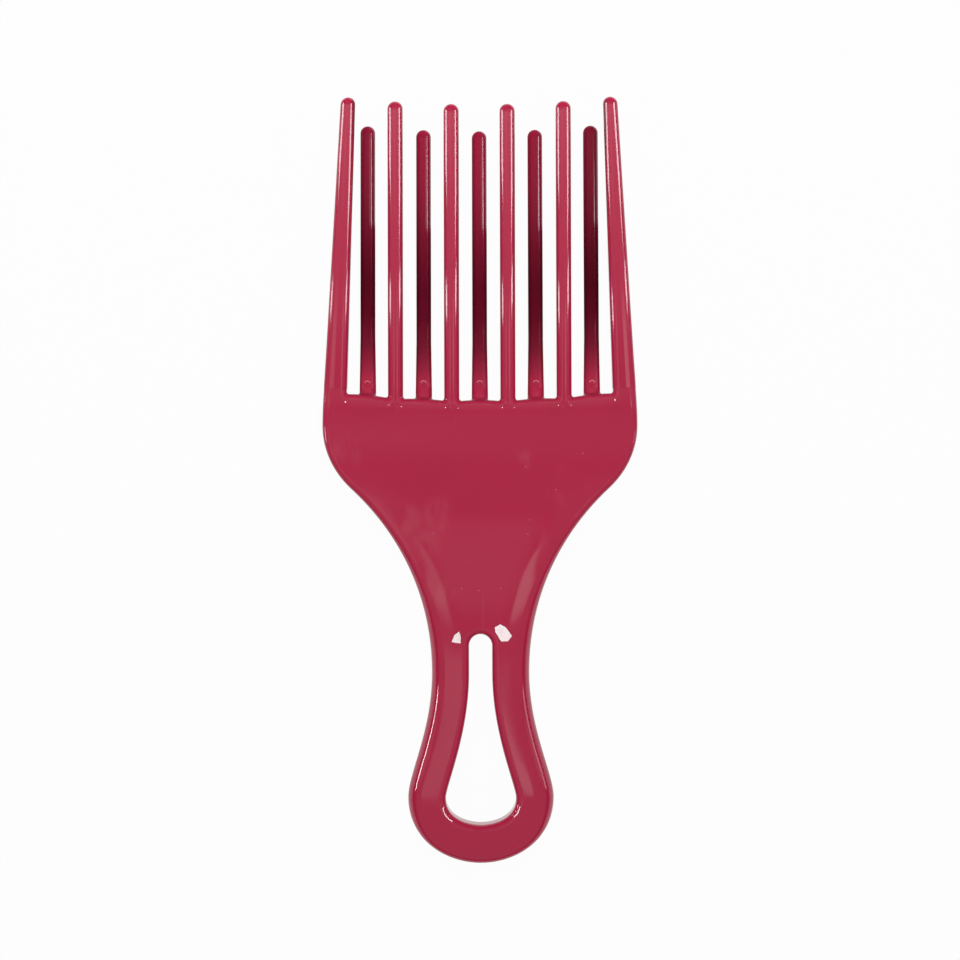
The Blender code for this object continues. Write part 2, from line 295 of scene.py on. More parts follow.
# The studio: a pale tent with a gap for the camera. A window is its centre, half size, level and
# blur, and a lamp its name, place, aim, size and level
tent_levels = (
    (-0.300, 0.42), (-0.020, 0.38), (0.000, 0.28), (0.022, 0.30), (0.042, 0.52), (0.065, 0.54),
    (0.085, 0.66), (0.106, 0.74), (0.115, 0.82), (0.124, 0.95), (0.134, 1.20), (0.152, 1.20),
    (0.175, 1.00), (0.210, 0.50), (0.300, 0.28), (0.500, 0.25),
)
tent_start = -0.300
tent_run = 0.800
tent_peak = 1.5
tent_low_level = 0.10
tent_foot = 0.25
tent_shoulder = 0.60
windows = {
    "left of the handle": ((-0.170, -0.099), (0.150, 0.036), 0.65, 0.030),
    "right of the loop": ((0.105, -0.108), (0.044, 0.016), 1.35, 0.003),
    "right of the neck": ((0.180, 0.0235), (0.062, 0.0285), 1.50, 0.004),
    "left of the neck": ((-0.180, 0.0235), (0.068, 0.0300), 0.85, 0.012),
    "left of the tips": ((-0.090, 0.125), (0.040, 0.030), 0.60, 0.006),
}
soft_lamps = (
    ("key", (0.0, 0.28, 0.37), (0.0, 0.02, 0.0), (0.40, 0.24), 4.60),
    ("tip_fill", (0.0, 0.32, 0.12), (0.0, 0.08, 0.0), (0.30, 0.10), 2.5),
    ("left_fill", (-0.50, 0.0, 0.13), (0.0, 0.0, 0.0), (0.50, 0.24), 2.2),
    ("right_fill", (0.50, 0.0, 0.13), (0.0, 0.0, 0.0), (0.50, 0.24), 2.2),
    ("end_fill", (0.0, -0.55, 0.13), (0.0, -0.05, 0.0), (0.50, 0.24), 2.6),
)
tooth_strips = (
    ("left_strip_far", (-0.34, 0.150, 0.12), (0.0, 0.04, 0.0), (0.09, 0.18), 12.0),
    ("left_strip_near", (-0.34, 0.062, 0.12), (0.0, 0.04, 0.0), (0.013, 0.18), 12.5),
    ("right_strip_far", (0.30, 0.140, 0.20), (0.0, 0.04, 0.0), (0.10, 0.17), 11.5),
    ("right_strip_near", (0.30, 0.0655, 0.20), (0.0, 0.04, 0.0), (0.015, 0.17), 12.5),
)
body_strips = (
    ("left_facet_lamp", left_low_lamp, (0.0, 0.0, 0.0), (0.040, 0.022), 17.5),
    ("right_facet_lamp", right_low_lamp, (0.0, 0.0, 0.0), (0.040, 0.022), 17.5),
    ("left_strip_neck", (-0.34, 0.055, 0.115), (0.0, -0.04, 0.0), (0.022, 0.026), 28.0),
    ("left_strip_low", (-0.34, -0.027, 0.115), (0.0, -0.04, 0.0), (0.058, 0.026), 28.0),
    ("right_strip_neck", (0.30, 0.056, 0.11), (0.0, -0.04, 0.0), (0.016, 0.060), 2.8),
    ("right_strip_low", (0.30, -0.034, 0.11), (0.0, -0.04, 0.0), (0.043, 0.060), 2.8),
)
floor_reach = 2.0
floor_drop = 0.0002
paper_colour = (0.5, 0.5, 0.5, 1.0)
paper_roughness = 0.9
paper_glow = 0.97
white = (1.0, 1.0, 1.0, 1.0)


def row_sag(x):
    """How far the arc of the roots, or of the tips, has risen at x from the centre line."""
    return row_arc_radius - np.sqrt(row_arc_radius**2 - x**2)


def lip_at(x):
    """The lip's edge: the arc of the roots, a little lower towards each front tooth."""
    across = x / tooth_pitch - np.round(x / tooth_pitch)
    return row_sag(x) - lip_scallop * (2.0 * across) ** 2


lip_y = (body_length - front_reach - row_sag(outer_tip_x)) / 2.0


def ease(t):
    """A smooth step from 0 to 1."""
    t = np.clip(t, 0.0, 1.0)
    return t * t * (3.0 - 2.0 * t)


def bezier(start, leave, arrive, end):
    """Points on a cubic curve, without its start."""
    t = np.linspace(0.0, 1.0, curve_samples)[1:, None]
    start, leave, arrive, end = (np.array(c, float) for c in (start, leave, arrive, end))
    ends = (1 - t) ** 3 * start + t**3 * end
    return ends + 3 * (1 - t) * t * ((1 - t) * leave + t * arrive)


def outer_share(y):
    """How far up an outer tooth y lies, from 0 at its seam to 1 at its tip."""
    return (y - root_seam) / (front_reach + row_sag(outer_tip_x) - root_seam)


def outer_centre(y):
    return outer_root_x + (outer_tip_x - outer_root_x) * outer_share(y)


def outer_half_width(y):
    return (outer_root_width + (outer_tip_width - outer_root_width) * outer_share(y)) / 2.0


def lip_and_side():
    """The right half of the lip, the outer tooth's root and the side to its widest place."""
    stub_top = root_seam + stub_height
    corner_x = outer_centre(0.0) - outer_half_width(0.0)
    fillet_x = corner_x - front_fillet
    x = np.linspace(0.0, fillet_x, lip_samples)
    lip = np.stack([x, lip_at(x)], 1)
    turn = np.linspace(0.0, math.pi / 2.0, corner_samples)[1:]
    corner_y = lip_at(fillet_x) + front_fillet
    corner = np.stack([np.sin(turn), -np.cos(turn)], 1) * front_fillet + (fillet_x, corner_y)
    stub = np.array([
        (outer_centre(stub_top) - outer_half_width(stub_top), stub_top),
        (outer_centre(stub_top) + outer_half_width(stub_top), stub_top),
        (outer_centre(root_seam) + outer_half_width(root_seam), root_seam),
    ])
    narrowing = (outer_tip_width - outer_root_width) / 2.0
    slope = (outer_tip_x - outer_root_x + narrowing) / front_reach
    drop = root_seam + fan_drop
    side = bezier(
        stub[2],
        (stub[2][0] - slope * side_shares[0] * drop, root_seam - side_shares[0] * drop),
        (fan_half_width, side_shares[1] * drop - fan_drop),
        (fan_half_width, -fan_drop),
    )
    return np.concatenate([lip, corner, stub, side])


def side_to_end():
    """The right side from the plate's widest place to the end of the handle."""
    shoulder = np.array((shoulder_half_width, -shoulder_drop))
    slant = np.array((math.sin(shoulder_angle), math.cos(shoulder_angle)))
    fan_run = shoulder_drop - fan_drop
    neck_run = neck_drop - shoulder_drop
    loop_run = loop_drop - neck_drop
    return np.concatenate([
        bezier(
            (fan_half_width, -fan_drop),
            (fan_half_width, -fan_drop - fan_shares[0] * fan_run),
            shoulder + slant * fan_shares[1] * fan_run,
            shoulder,
        ),
        bezier(
            shoulder,
            shoulder - slant * neck_shares[0] * neck_run,
            (neck_half_width, -neck_drop + neck_shares[1] * neck_run),
            (neck_half_width, -neck_drop),
        ),
        bezier(
            (neck_half_width, -neck_drop),
            (neck_half_width, -neck_drop - loop_shares[0] * loop_run),
            (loop_half_width, -loop_drop + loop_shares[1] * loop_run),
            (loop_half_width, -loop_drop),
        ),
        bezier(
            (loop_half_width, -loop_drop),
            (loop_half_width, -loop_drop - loop_rise * end_shares[0]),
            (loop_half_width * end_shares[1], -body_length),
            (0.0, -body_length),
        ),
    ])


def hole_side():
    """The right side of the finger hole, from its narrow top to its broad end."""
    slot = neck_half_width - branch_width
    broad = loop_half_width - branch_width - branch_swell
    end = end_bar - body_length
    turn = np.linspace(0.0, math.pi / 2.0, hole_top_samples)
    top = np.stack([slot * np.sin(turn), -hole_drop - slot + slot * np.cos(turn)], 1)
    flare_run = loop_drop - neck_drop
    return np.concatenate([
        top,
        bezier(
            (slot, -neck_drop),
            (slot, -neck_drop - flare_shares[0] * flare_run),
            (broad, -loop_drop + flare_shares[1] * flare_run),
            (broad, -loop_drop),
        ),
        bezier(
            (broad, -loop_drop),
            (broad, -loop_drop + (end + loop_drop) * hole_end_shares[0]),
            (broad * hole_end_shares[1], end),
            (0.0, end),
        ),
    ])


def around(values, reach):
    """The change from this many places before each value of a loop to as many after it."""
    return np.roll(values, -reach, axis=0) - np.roll(values, reach, axis=0)


def even_samples(half, outward):
    """Evenly spaced points on a whole loop, with unit normals that point out of the plastic."""
    mirrored = half[-2:0:-1] * np.array((-1.0, 1.0))
    loop = np.concatenate([half, mirrored])
    closed = np.concatenate([loop, loop[:1]])
    steps = np.linalg.norm(np.diff(closed, axis=0), axis=1)
    lengths = np.concatenate([[0.0], np.cumsum(steps)])
    count = int(lengths[-1] / sample_step)
    at = np.arange(count) * lengths[-1] / count
    points = np.stack([np.interp(at, lengths, closed[:, k]) for k in (0, 1)], 1)
    tangents = around(points, tangent_reach)
    tangents /= np.linalg.norm(tangents, axis=1)[:, None]
    normals = np.stack([-tangents[:, 1], tangents[:, 0]], 1)
    ahead = np.roll(points, -1, axis=0)
    area = np.sum(points[:, 0] * ahead[:, 1] - ahead[:, 0] * points[:, 1])
    if (area > 0.0) == outward:
        normals = -normals
    return points, normals


class Outline:
    """The plan outline of the plate, handle and finger hole, and distances to it."""

    def __init__(self):
        loops = [
            even_samples(np.concatenate([lip_and_side(), side_to_end()]), True),
            even_samples(hole_side(), False),
        ]
        self.hole_start = len(loops[0][0])
        self.points, self.normals = (np.concatenate(parts) for parts in zip(*loops))
        turns = []
        for points, normals in loops:
            along = around(points, bend_reach)
            turn = np.sum(around(normals, bend_reach) * along, axis=1)
            turns.append(turn / np.linalg.norm(along, axis=1) ** 2)
        self.bends = np.concatenate(turns)
        self.trees = [self.tree_of(len(self.points)), self.tree_of(self.hole_start)]

    def tree_of(self, count):
        tree = kdtree.KDTree(count)
        for i, (x, y) in enumerate(self.points[:count]):
            tree.insert((x, y, 0.0), i)
        tree.balance()
        return tree

    def nearest(self, places):
        """For each place, its nearest sample of the whole outline and of the outer loop alone."""
        flat = np.pad(places[:, :2], ((0, 0), (0, 1)))
        return [np.array([tree.find(place)[1] for place in flat]) for tree in self.trees]

    def distance(self, places, near):
        """Signed distance in plan, with each stretch of outline taken as a short arc."""
        away = places[:, :2] - self.points[near]
        normal = self.normals[near]
        out = np.sum(away * normal, axis=1)
        along = away[:, 0] * -normal[:, 1] + away[:, 1] * normal[:, 0]
        return out + self.bends[near] * along**2 / (2.0 * (1.0 + self.bends[near] * out))


def half_thickness(places, inset):
    """Half the body's thickness. inset is how far a place lies inside the outer outline."""
    x, y = places[:, 0], places[:, 1]
    thinning = ease((y + taper_foot_drop) / (taper_foot_drop - taper_top_drop))
    swelling = ease((y + root_swell_length) / root_swell_length)
    thick = handle_thickness + (plate_thickness - handle_thickness) * thinning
    thick = thick + (root_thickness - plate_thickness) * swelling
    lip_level = y - row_sag(np.minimum(np.abs(x), outer_root_x))
    down = np.clip(lip_level + bevel_length, 0.0, bevel_length)
    fall = bevel_slope * down**2 / (2.0 * bevel_length) * between_outer_teeth(x, lip_wall)
    crowned = 1.0 - ease((y + crown_full_drop) / (crown_full_drop - crown_top_drop))
    crown = crown_fall * (1.0 - np.clip(inset / crown_band, 0.0, 1.0)) ** 2 * crowned
    return thick / 2.0 - fall - crown


def between_outer_teeth(x, blend):
    """1 between the outer teeth, falling to 0 at their inner sides over a width of blend."""
    inner_edge = outer_root_x - outer_root_width / 2.0
    return 1.0 - ease((np.abs(x) - inner_edge) / blend + 0.5)


def rim_radius(x, y, at_hole):
    """The round of the edges: fine at the lip, small on plate and hole, large on the handle."""
    thinning = ease((y + taper_foot_drop) / (taper_foot_drop - taper_top_drop))
    start, end = end_round_drops
    outer = handle_round + (end_round - handle_round) * ease((-y - start) / (end - start))
    handle = np.where(at_hole, hole_round, outer)
    rim = handle + (edge_round - handle) * thinning
    low, high = lip_round_drops
    lip = between_outer_teeth(x, lip_wall) * ease((y + low) / (low - high))
    return rim + (lip_round - rim) * lip


def rounded(across, up, radius):
    """Distance to a rounded box, from the distances past its two pairs of faces."""
    outer = np.hypot(np.maximum(across + radius, 0.0), np.maximum(up + radius, 0.0))
    inner = np.minimum(np.maximum(across + radius, up + radius), 0.0)
    return outer + inner - radius


def lean(across, up, radius):
    """How much a rounded box's surface faces sideways and upwards at a place."""
    side = np.maximum(across + radius, 0.0)
    top = np.maximum(up + radius, 0.0)
    inside = (side + top) <= 0.0
    side = np.where(inside, (across > up) * 1.0, side)
    top = np.where(inside, (across <= up) * 1.0, top)
    size = np.hypot(side, top)
    return side / size, top / size


def tooth_size(y, x, side):
    """An inner tooth's half width, half depth and middle height at y. side is 1 in front."""
    above = y - row_sag(x)
    root = np.clip(1.0 - np.maximum(above, 0.0) / gusset_length, 0.0, 1.0) ** 2
    flare = np.clip(1.0 - np.maximum(above, 0.0) / flare_length, 0.0, 1.0)
    width, extra = (front_width, 0.0) if side > 0 else (back_width, back_flare_width)
    up = np.maximum(y, 0.0) / front_reach
    depth = tooth_depth_root + (tooth_depth_tip - tooth_depth_root) * up + gusset_depth * root
    root_crest = root_thickness / 2.0
    crest = root_crest + (row_rise_tip - root_crest) * up + root_crest_fall * np.minimum(y, 0.0)
    return width / 2.0 + extra * flare, depth / 2.0, side * (crest - depth / 2.0)


def fillet_union(first, second, radius):
    """The nearer of two distances, with a round of this radius where they meet."""
    reach = np.hypot(np.maximum(radius - first, 0.0), np.maximum(radius - second, 0.0))
    return np.maximum(np.minimum(first, second), radius) - reach


def skin_distance(outline, places, nearest):
    """Signed distance to the moulded body with the roots of its teeth."""
    x, y, z = places.T
    near, outer_near = nearest
    plan = outline.distance(places, near)
    past_face = np.abs(z) - half_thickness(places, -outline.distance(places, outer_near))
    rim = rim_radius(x, y, near >= outline.hole_start)
    body = rounded(plan, past_face, rim)
    body_side, body_up = lean(plan, past_face, rim)
    normal = outline.normals[near]
    total = body
    for tooth_x, side in inner_teeth:
        half_width, half_depth, height = tooth_size(y, tooth_x, side)
        tooth_x = tooth_x * (1.0 - row_lean_share * np.maximum(y, 0.0) / front_reach)
        radius = front_width / 2.0 * tooth_round_share
        across = np.abs(x - tooth_x) - half_width
        up = np.abs(z - height) - half_depth
        tooth = np.maximum(rounded(across, up, radius), -root_sink - y)
        tooth_side, tooth_up = lean(across, up, radius)
        same = body_side * normal[:, 0] * tooth_side * np.sign(x - tooth_x)
        same = same + body_up * np.sign(z) * tooth_up * np.sign(z - height)
        fillet = front_fillet if side > 0 else back_fillet
        blend = fillet * np.sqrt(np.clip(1.0 - same**2, 0.0, 1.0)) + least_fillet
        total = np.minimum(total, fillet_union(body, tooth, blend))
    return total


def skin_gradient(outline, places, near):
    """How the distance to the skin grows at each place, by differences."""
    parts = []
    for axis in np.eye(3):
        ahead = skin_distance(outline, places + axis * normal_step, near)
        behind = skin_distance(outline, places - axis * normal_step, near)
        parts.append((ahead - behind) / (2.0 * normal_step))
    return np.stack(parts, 1)


def settle(outline, places, rounds, axes=(1.0, 1.0, 1.0)):
    """Moves places onto the skin along its gradient, and gives them with their normals."""
    for _ in range(rounds):
        near = outline.nearest(places)
        distance = skin_distance(outline, places, near)
        gradient = skin_gradient(outline, places, near) * np.array(axes)
        size = np.maximum(np.sum(gradient**2, axis=1), least_gradient)
        move = np.clip(distance, -skin_cell, skin_cell) / size
        places = places - move[:, None] * gradient
    near = outline.nearest(places)
    gradient = skin_gradient(outline, places, near)
    return places, gradient / np.linalg.norm(gradient, axis=1)[:, None]


def in_scene(name, data):
    item = bpy.data.objects.new(name, data)
    bpy.context.scene.collection.objects.link(item)
    return item


def result_of(item):
    """An object with its modifiers or its curve worked out, as a plain mesh."""
    graph = bpy.context.evaluated_depsgraph_get()
    return bpy.data.meshes.new_from_object(item.evaluated_get(graph))


def rough_skin():
    """A coarse body with blocks for the roots, remeshed to even cells for the field to settle."""
    curve = bpy.data.curves.new("rough_skin", "CURVE")
    curve.dimensions = "2D"
    curve.fill_mode = "BOTH"
    curve.extrude = plate_thickness / 2.0
    for half in (np.concatenate([lip_and_side(), side_to_end()]), hole_side()):
        points = even_samples(half, True)[0][::rough_every]
        spline = curve.splines.new("POLY")
        spline.points.add(len(points) - 1)
        spline.points.foreach_set("co", np.pad(points, ((0, 0), (0, 2))).ravel())
        spline.use_cyclic_u = True
    item = in_scene("rough_skin", curve)
    mesh = result_of(item)
    bpy.data.objects.remove(item)
    shape = bmesh.new()
    shape.from_mesh(mesh)
    bmesh.ops.remove_doubles(shape, verts=shape.verts, dist=merge_distance)
    low, high = -block_sink, root_seam + stub_height
    for tooth_x, side in inner_teeth:
        half_width, half_depth, height = tooth_size(root_seam, tooth_x, side)
        block = bmesh.ops.create_cube(shape, size=1.0)["verts"]
        sides = (2.0 * half_width, high - low, 2.0 * half_depth)
        bmesh.ops.scale(shape, vec=sides, verts=block)
        bmesh.ops.translate(shape, vec=(tooth_x, (low + high) / 2.0, height), verts=block)
    shape.to_mesh(mesh)
    shape.free()
    item = in_scene("rough_skin", mesh)
    remesh = item.modifiers.new("even", "REMESH")
    remesh.mode = "VOXEL"
    remesh.voxel_size = skin_cell
    fine = result_of(item)
    bpy.data.objects.remove(item)
    return fine


def mesh_places(mesh):
    flat = np.empty(len(mesh.vertices) * 3)
    mesh.vertices.foreach_get("co", flat)
    return flat.reshape(-1, 3)


def set_places(mesh, places):
    mesh.vertices.foreach_set("co", places.ravel())
    mesh.update()


def make_skin():
    """The plate, handle and tooth roots as one smooth closed mesh, cut flat at the seam."""
    outline = Outline()
    mesh = rough_skin()
    places = mesh_places(mesh)
    swell = half_thickness(places, crown_band) / (plate_thickness / 2.0) - 1.0
    places[:, 2] *= 1.0 + swell * np.clip(-places[:, 1] / root_swell_length, 0.0, 1.0)
    places, _ = settle(outline, places, settle_rounds)
    set_places(mesh, places)
    shape = bmesh.new()
    shape.from_mesh(mesh)
    parts = shape.verts[:] + shape.edges[:] + shape.faces[:]
    bmesh.ops.bisect_plane(
        shape, geom=parts, dist=seam_tolerance / 10.0, plane_co=(0.0, root_seam, 0.0),
        plane_no=(0.0, 1.0, 0.0), clear_outer=True,
    )
    rims = [edge for edge in shape.edges if edge.is_boundary]
    bmesh.ops.holes_fill(shape, edges=rims, sides=0)
    bmesh.ops.recalc_face_normals(shape, faces=shape.faces)
    shape.to_mesh(mesh)
    shape.free()
    places = mesh_places(mesh)
    rim = np.abs(places[:, 1] - root_seam) < seam_tolerance
    places[rim], _ = settle(outline, places[rim], seam_settle_rounds, (1.0, 0.0, 1.0))
    set_places(mesh, places)
    _, normals = settle(outline, places, 0)
    mesh.shade_smooth()
    corner_normals = normals[[loop.vertex_index for loop in mesh.loops]]
    for face in mesh.polygons:
        at_seam = abs(face.center.y - root_seam) < seam_face_tolerance
        if at_seam and abs(face.normal.y) > seam_facing:
            face.use_smooth = False
            first = face.loop_start
            corner_normals[first:first + face.loop_total] = (0.0, 1.0, 0.0)
    mesh.normals_split_custom_set([tuple(normal) for normal in corner_normals])
    mesh.transform(Matrix.Translation((0.0, lip_y, middle)))
    return mesh


class Num:
    """A number in a node tree. Python's operators on it add Math nodes."""

    def __init__(self, nodes, socket):
        self.nodes = nodes
        self.socket = socket

    def math(self, operation, *others):
        return self.nodes.math(operation, self, *others)

    def __add__(self, other):
        return self.math("ADD", other)

    def __sub__(self, other):
        return self.math("SUBTRACT", other)

    def __rsub__(self, other):
        return self.nodes.math("SUBTRACT", other, self)

    def __mul__(self, other):
        return self.math("MULTIPLY", other)

    def __truediv__(self, other):
        return self.math("DIVIDE", other)

    def __rtruediv__(self, other):
        return self.nodes.math("DIVIDE", other, self)

    def __abs__(self):
        return self.math("ABSOLUTE")

    __radd__ = __add__
    __rmul__ = __mul__


class Nodes:
    """Adds nodes to a tree, for geometry or for a material."""

    def __init__(self, tree):
        self.tree = tree

    def add(self, kind, settings=None, **inputs):
        """A node of this kind: its settings, then its inputs, by name or as i and an index."""
        node = self.tree.nodes.new(kind)
        for name, value in (settings or {}).items():
            setattr(node, name, value)
        for name, value in inputs.items():
            by_index = name[0] == "i" and name[1:].isdigit()
            key = int(name[1:]) if by_index else name.replace("_", " ")
            self.put(node.inputs[key], value)
        return node

    def put(self, socket, value):
        if isinstance(value, Num):
            value = value.socket
        if isinstance(value, bpy.types.NodeSocket):
            self.tree.links.new(value, socket)
        else:
            socket.default_value = value

    def math(self, operation, *values):
        node = self.add("ShaderNodeMath", {"operation": operation})
        for socket, value in zip(node.inputs, values):
            self.put(socket, value)
        return Num(self, node.outputs[0])

    def noise(self, place, scale, detail, roughness):
        node = self.add("ShaderNodeTexNoise", None, Vector=place, Scale=scale, Detail=detail,
                        Roughness=roughness)
        return Num(self, node.outputs[0])

    def stretched(self, place, turn, share):
        """Places turned and drawn out lengthwise, for a noise with a grain."""
        return self.add("ShaderNodeMapping", None, Vector=place, Rotation=(0.0, 0.0, turn),
                        Scale=(1.0, share, 1.0)).outputs[0]

    def apart(self, across, along):
        return (across * across + along * along).math("SQRT")

    def most(self, numbers):
        return reduce(lambda first, second: first.math("MAXIMUM", second), numbers)

    def least(self, numbers):
        return reduce(lambda first, second: first.math("MINIMUM", second), numbers)

    def between(self, first, second, share):
        mix = self.add("ShaderNodeMix", {"data_type": "VECTOR"}, Factor=share, i4=first, i5=second)
        return mix.outputs[1]

    def unit(self, vector):
        return self.add("ShaderNodeVectorMath", {"operation": "NORMALIZE"}, i0=vector).outputs[0]

    def turned(self, normal, way, mask):
        """A normal that faces another way inside a mask."""
        return self.unit(self.between(normal, way, mask))

    def curve(self, value, points):
        """A value between 0 and 1 read off straight lines through these points."""
        node = self.add("ShaderNodeFloatCurve", None, Value=value)
        line = node.mapping.curves[0]
        for _ in points[2:]:
            line.points.new(0.5, 0.5)
        for point, place in zip(line.points, points):
            point.location = place
            point.handle_type = "VECTOR"
        node.mapping.update()
        return Num(self, node.outputs[0])

    def ramp(self, value, low, high, start=0.0, end=1.0, smooth=True):
        """A value that goes from start to end while the given one goes from low to high."""
        kind = "SMOOTHSTEP" if smooth else "LINEAR"
        node = self.add("ShaderNodeMapRange", {"interpolation_type": kind}, Value=value,
                        From_Min=low, From_Max=high, To_Min=start, To_Max=end)
        return Num(self, node.outputs["Result"])


tooth_inputs = (
    "Seat", "Tip", "Side", "Lip", "Root X", "Tip X", "Root width", "Tip width", "Root crest",
    "Tip crest", "Root depth", "Tip depth", "Root round", "Tip round", "Gusset depth",
    "Flare width",
)


def tooth_tree(material):
    """A tooth as a grid wrapped round on itself: across the grid is round it, along it is up it."""
    tree = bpy.data.node_groups.new("comb_tooth", "GeometryNodeTree")
    tree.interface.new_socket("Geometry", in_out="OUTPUT", socket_type="NodeSocketGeometry")
    for name in tooth_inputs:
        tree.interface.new_socket(name, in_out="INPUT", socket_type="NodeSocketFloat")
    nodes = Nodes(tree)
    group = nodes.add("NodeGroupInput")
    size = {name: Num(nodes, group.outputs[name]) for name in tooth_inputs}
    grid = nodes.add("GeometryNodeMeshGrid", None, Size_X=1.0, Size_Y=1.0,
                     Vertices_X=tooth_sides + 1, Vertices_Y=tooth_rings + 1)
    start = nodes.add("GeometryNodeInputPosition").outputs[0]
    place = nodes.add("ShaderNodeSeparateXYZ", None, Vector=start)
    turn = (Num(nodes, place.outputs["X"]) + 0.5) * (2.0 * math.pi)
    share = Num(nodes, place.outputs["Y"]) + 0.5
    first = 1.0 / tooth_rings
    dome_start = 1.0 - tip_ring_share
    shaft = ((share - first) / (dome_start - first)).math("MAXIMUM", 0.0).math("MINIMUM", 1.0)
    dome = ((share - dome_start) / tip_ring_share).math("MAXIMUM", 0.0) * (math.pi / 2.0)
    before = (1.0 - share / first).math("MAXIMUM", 0.0)
    tip_radius = size["Tip width"] * 0.5
    y = size["Seat"] + (size["Tip"] - tip_radius - size["Seat"]) * shaft
    y = y + tip_radius * dome.math("SINE") - before * seat_overlap
    scale = dome.math("COSINE")
    up = (y - size["Seat"]) / (size["Tip"] - size["Seat"])
    reach = y.math("MAXIMUM", 0.0) / front_reach
    above = (y - size["Lip"]).math("MAXIMUM", 0.0)
    root = (1.0 - above / gusset_length).math("MAXIMUM", 0.0).math("POWER", 2.0)
    flare = (1.0 - above / flare_length).math("MAXIMUM", 0.0)

    def tapered(name, share):
        return size["Root " + name] + (size["Tip " + name] - size["Root " + name]) * share

    half_width = tapered("width", up) * 0.5 + size["Flare width"] * flare
    depth = tapered("depth", reach) + size["Gusset depth"] * root
    crest = tapered("crest", reach)
    radius = tapered("round", up)
    centre_x = tapered("X", up)
    centre_z = size["Side"] * (crest - depth * 0.5)
    cosine, sine = turn.math("COSINE"), turn.math("SINE")
    square_x, square_z = (
        (way * tooth_squareness).math("MAXIMUM", -1.0).math("MINIMUM", 1.0)
        for way in (cosine, sine)
    )
    x = centre_x + scale * ((half_width - radius) * square_x + radius * cosine)
    z = centre_z + scale * ((depth * 0.5 - radius) * square_z + radius * sine)
    position = nodes.add("ShaderNodeCombineXYZ", None, X=x, Y=y + lip_y, Z=z + middle)
    moved = nodes.add("GeometryNodeSetPosition", None, Geometry=grid.outputs["Mesh"],
                      Position=position.outputs[0])
    closed = nodes.add("GeometryNodeMergeByDistance", None, Geometry=moved.outputs[0],
                       Distance=tooth_merge_distance)
    smooth = nodes.add("GeometryNodeSetShadeSmooth", None, i0=closed.outputs[0])
    real = nodes.add("GeometryNodeRealizeInstances", None, i0=smooth.outputs[0])
    painted = nodes.add("GeometryNodeSetMaterial", None, Geometry=real.outputs[0],
                        Material=material)
    nodes.add("NodeGroupOutput", None, i0=painted.outputs[0])
    return tree


def make_tooth(name, tree, sizes):
    """A finished tooth: the tree's result for these sizes, as a plain closed mesh."""
    item = in_scene(name, bpy.data.meshes.new(name))
    modifier = item.modifiers.new("tooth", "NODES")
    modifier.node_group = tree
    sockets = {s.name: s.identifier for s in tree.interface.items_tree if s.in_out == "INPUT"}
    for key, value in sizes.items():
        modifier[sockets[key]] = float(value)
    mesh = result_of(item)
    item.modifiers.remove(modifier)
    item.data = mesh
    shape = bmesh.new()
    shape.from_mesh(mesh)
    rims = [edge for edge in shape.edges if edge.is_boundary]
    for face in bmesh.ops.holes_fill(shape, edges=rims, sides=0)["faces"]:
        face.smooth = False
        for edge in face.edges:
            edge.smooth = False
    bmesh.ops.recalc_face_normals(shape, faces=shape.faces)
    shape.to_mesh(mesh)
    shape.free()
    mesh.name = name
    return item


def inner_sizes(x, side):
    """The tree's inputs for a tooth of either row, at its own place across the comb."""
    reach, width, extra = (
        (front_reach, front_width, 0.0) if side > 0 else (back_reach, back_width, back_flare_width)
    )
    rounding = front_width / 2.0 * tooth_round_share
    return {
        "Seat": root_seam, "Tip": reach + row_sag(x), "Side": side, "Lip": row_sag(x),
        "Root X": x * (1.0 - row_lean_share * root_seam / front_reach),
        "Tip X": x * (1.0 - row_lean_share * (reach + row_sag(x)) / front_reach),
        "Root width": width, "Tip width": width,
        "Root crest": root_thickness / 2.0, "Tip crest": row_rise_tip,
        "Root depth": tooth_depth_root, "Tip depth": tooth_depth_tip,
        "Root round": rounding, "Tip round": rounding,
        "Gusset depth": gusset_depth, "Flare width": extra,
    }


def outer_sizes(right):
    """The tree's inputs for an outer tooth. right is 1 for the right one and -1 for the left."""
    return {
        "Seat": root_seam, "Tip": front_reach + row_sag(outer_tip_x), "Side": 1.0, "Lip": 0.0,
        "Root X": right * outer_root_x, "Tip X": right * outer_tip_x,
        "Root width": outer_root_width, "Tip width": outer_tip_width,
        "Root crest": root_thickness / 2.0, "Tip crest": row_rise_tip,
        "Root depth": root_thickness, "Tip depth": tooth_depth_tip,
        "Root round": edge_round, "Tip round": outer_tip_width / 2.0 * tip_round_share,
        "Gusset depth": 0.0, "Flare width": 0.0,
    }


def from_picture(places):
    """Places on the photograph, in pixels, as x and y on the comb."""
    across, down = picture_middle
    return [
        ((x - across) / pixels_per_metre, (down - y) / pixels_per_metre + camera_y)
        for x, y in places
    ]


def spots(nodes, x, y, places, radius):
    """A mask of small round spots."""
    return nodes.most(
        nodes.ramp(nodes.apart(x - spot_x, y - spot_y), radius, radius * spot_core)
        for spot_x, spot_y in places
    )


def polygon(nodes, x, y, corners):
    """A mask inside a convex outline, given clockwise as the photograph shows it."""
    sides = []
    for (ax, ay), (bx, by) in zip(corners, corners[1:] + corners[:1]):
        length = math.hypot(bx - ax, by - ay)
        inward = ((by - ay) / length, -(bx - ax) / length)
        depth = x * inward[0] + y * inward[1] - (ax * inward[0] + ay * inward[1])
        sides.append(nodes.ramp(depth, -facet_blur, facet_blur))
    return nodes.least(sides)


